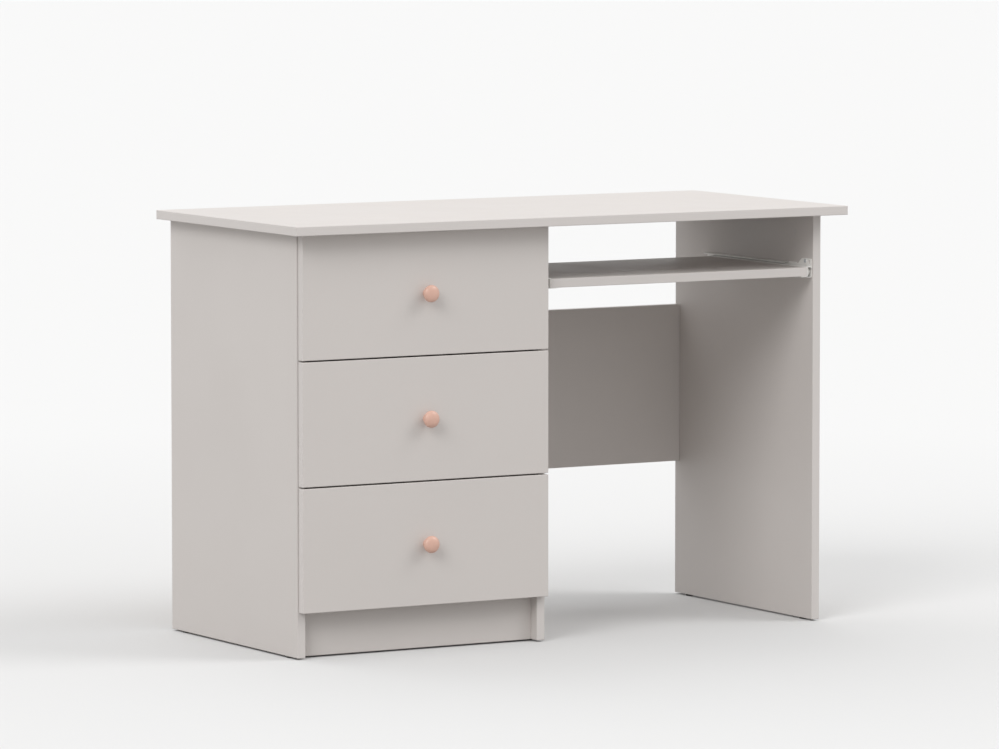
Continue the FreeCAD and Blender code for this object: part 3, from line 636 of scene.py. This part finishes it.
def make_slides(mover):
    """Both slides of a drawer or the tray: a strip with a flange, a web and a hook, and a pin."""
    nodes = [mover + "_slide_left", mover + "_slide_right"]
    low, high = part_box(nodes[0])
    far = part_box(nodes[1])[1]
    length = (high.y - low.y) / MM
    height = (high.z - low.z) / MM
    middle = STEEL / 2
    web = SLIDE_WEB + middle
    lip = HOOK_START + middle
    piece = Piece()
    piece.strip([(SLIDE_WEB + STEEL + SLIDE_FLANGE, middle), (web, middle), (web, height - middle),
                 (lip, height - middle), (lip, height - HOOK_DROP)], 0.0, length)
    rivet(piece, length - REAR_PIN[0], REAR_PIN[1], web, REAR_PIN_STEPS)
    piece.pair(low.x - HOOK_START * MM, far.x + HOOK_START * MM, low.y, low.z)
    piece.finish(mover + "_slides_folded", BODY_OF[nodes[0]], nodes, "coated_runner_steel",
                 material_of(nodes[0]))


def cross_outline(y, z):
    """A cross about a middle, turned a little so that the screws don't look set by a ruler."""
    wide, long, _ = CROSS
    quarter = [(long, -wide), (long, wide), (wide, wide)]
    corners = []
    for turn in range(4):
        angle = math.radians(90 * turn + CROSS_TURN[0] * y + CROSS_TURN[1] * z)
        corners += [(y + a * math.cos(angle) - b * math.sin(angle),
                     z + a * math.sin(angle) + b * math.cos(angle)) for a, b in quarter]
    return corners


def rail_screw(piece, y, z):
    """A pan-head screw through the rail, with a cross in its head."""
    shank, reach = SCREW_SHANK
    crown = STEEL + SCREW_HEAD
    depth = CROSS[2]
    rim = [(radius, STEEL + along) for radius, along in SCREW_DOME]
    profile = [(0, STEEL - reach), (shank, STEEL - reach), (shank, STEEL)] + rim
    profile += [(rim[-1][0], crown - depth), (0, crown - depth)]
    piece.lathe(profile, Vector((0, y, z)), X_AXIS)
    piece.plate(circle(y, z, rim[-1][0]), [cross_outline(y, z)], crown - depth, crown)


def make_rail_screws():
    """All the rails' screws, in one piece as in the CAD model."""
    piece = Piece()
    for mover in MOVERS:
        low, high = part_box(mover + "_rails")
        runner = Piece()
        for place_on_rail in rail_screw_places((high.y - low.y) / MM):
            rail_screw(runner, *place_on_rail)
        runner.pair(low.x, high.x, low.y, low.z)
        join(piece.shape, runner.shape)
    piece.finish("rail_screws_crossed", "desk", ["rail_screws"], "zinc_steel",
                 material_of("rail_screws"))


def make_rollers(node):
    """Moulded rollers with a hub, a sunk web and a crowned rim."""
    low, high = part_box(node)
    middle = (low + high) / 2
    far_side = [(radius, ROLLER_WIDTH - along) for radius, along in ROLLER_SIDE[::-1]]
    profile = [(ROLLER_BORE, 0.0), *ROLLER_SIDE, *far_side, (ROLLER_BORE, ROLLER_WIDTH)]
    piece = Piece()
    piece.lathe(profile, ORIGIN, X_AXIS)
    piece.pair(low.x, high.x, middle.y, middle.z)
    piece.finish(node + "_moulded", node, [node], "white_nylon", material_of(node))


def make_runners():
    """Rails, slides and rollers of every drawer and the tray, then the screws of all rails."""
    for mover in MOVERS:
        make_rails(mover)
        make_slides(mover)
        make_rollers(mover + "_front_rollers")
        make_rollers(mover + "_rear_rollers")
    make_rail_screws()


# ---- stage --------------------------------------------------------------------------------------
FLOOR_RADIUS = 160.0
FLOOR_SEGMENTS = 96
# painted shade: the floor's colour is greyer near the desk, standing in for the desk's shade on it
FLOOR_NEAR_PAINTED_SHADE = (0.700, 0.699, 0.697)
FLOOR_FAR = (0.750, 0.750, 0.748)
FLOOR_BOUNCE = (0.35, 0.345, 0.34)
FLOOR_FADE = (0.9, 3.6)    # distances from the desk's middle over which the painted shade near the desk fades to the far tone


def make_floor():
    """A wide pale floor with painted shade round the desk, that throws back less light than it
    shows.
    """
    mesh = bpy.data.meshes.new("studio_floor")
    shape = bmesh.new()
    bmesh.ops.create_circle(shape, cap_ends=True, radius=FLOOR_RADIUS, segments=FLOOR_SEGMENTS)
    shape.to_mesh(mesh)
    shape.free()
    floor = bpy.data.objects.new("studio_floor", mesh)
    bpy.context.scene.collection.objects.link(floor)
    s = Shader("studio_floor", roughness=1.0, specular=0.0)
    reach = s.node("VectorMath", Vector=s.coords)
    reach.operation = "LENGTH"
    # painted shade: greyer near the desk, fading to the far tone further out
    pale = s.mix(s.ramp(reach.outputs["Value"], *FLOOR_FADE), FLOOR_NEAR_PAINTED_SHADE, FLOOR_FAR)
    bounced = s.tree.nodes.new("ShaderNodeLightPath").outputs["Is Diffuse Ray"]
    s.colour(s.mix(bounced, pale, FLOOR_BOUNCE))
    dress(floor, s.material)


DOME_HORIZON = 0.93
DOME_ABOVE = 0.778
DOME_BAND = (0.02, 0.20)   # heights between which the horizon's glow fades


def make_world():
    """A studio dome, a little brighter in a band at the horizon."""
    world = bpy.data.worlds.new("studio_dome")
    bpy.context.scene.world = world
    world.use_nodes = True
    tree = world.node_tree
    background = tree.nodes["Background"]
    background.inputs["Color"].default_value = (1.0, 1.0, 1.0, 1.0)
    coords = tree.nodes.new("ShaderNodeTexCoord")
    split = tree.nodes.new("ShaderNodeSeparateXYZ")
    rise = tree.nodes.new("ShaderNodeMapRange")
    rise.inputs["From Min"].default_value = DOME_BAND[0]
    rise.inputs["From Max"].default_value = DOME_BAND[1]
    rise.inputs["To Min"].default_value = DOME_HORIZON
    rise.inputs["To Max"].default_value = DOME_ABOVE
    tree.links.new(coords.outputs["Generated"], split.inputs["Vector"])
    tree.links.new(split.outputs["Z"], rise.inputs["Value"])
    tree.links.new(rise.outputs["Result"], background.inputs["Strength"])


def soft_sun(name, turn, height, spread, strength):
    """A far soft light: turn from the front towards the right, height above the floor, degrees."""
    light = bpy.data.lights.new(name, "SUN")
    light.energy = strength * math.pi
    light.angle = math.radians(spread)
    lamp = bpy.data.objects.new(name, light)
    turn, height = math.radians(turn), math.radians(height)
    toward = Vector((math.sin(turn) * math.cos(height), -math.cos(turn) * math.cos(height),
                     math.sin(height)))
    lamp.rotation_euler = toward.to_track_quat("Z", "Y").to_euler()
    bpy.context.scene.collection.objects.link(lamp)


def make_lights():
    """A key light from the front left, a fill light from the front right, one from behind."""
    soft_sun("key_light", turn=-58, height=33, spread=30, strength=0.342)
    soft_sun("fill_light", turn=57, height=40, spread=30, strength=0.262)
    soft_sun("back_light", turn=180, height=50, spread=50, strength=0.169)


CAMERA_PLACE = (-5.857, -10.028, 1.5055)
CAMERA_TURN = 30.25
CAMERA_DIP = 5.18
CAMERA_LENS = 235.9
CAMERA_SENSOR = 36.0
CAMERA_REACH = 400.0


def make_camera():
    data = bpy.data.cameras.new("camera")
    data.sensor_width = CAMERA_SENSOR
    data.lens = CAMERA_LENS
    data.clip_end = CAMERA_REACH
    camera = bpy.data.objects.new("camera", data)
    camera.location = CAMERA_PLACE
    camera.rotation_euler = (math.radians(90 - CAMERA_DIP), 0.0, math.radians(-CAMERA_TURN))
    bpy.context.scene.collection.objects.link(camera)
    bpy.context.scene.camera = camera


make_camera()
make_world()
make_lights()
make_floor()
dress_nodes()
make_knobs()
make_runners()
bpy.context.scene.view_settings.view_transform = "Standard"
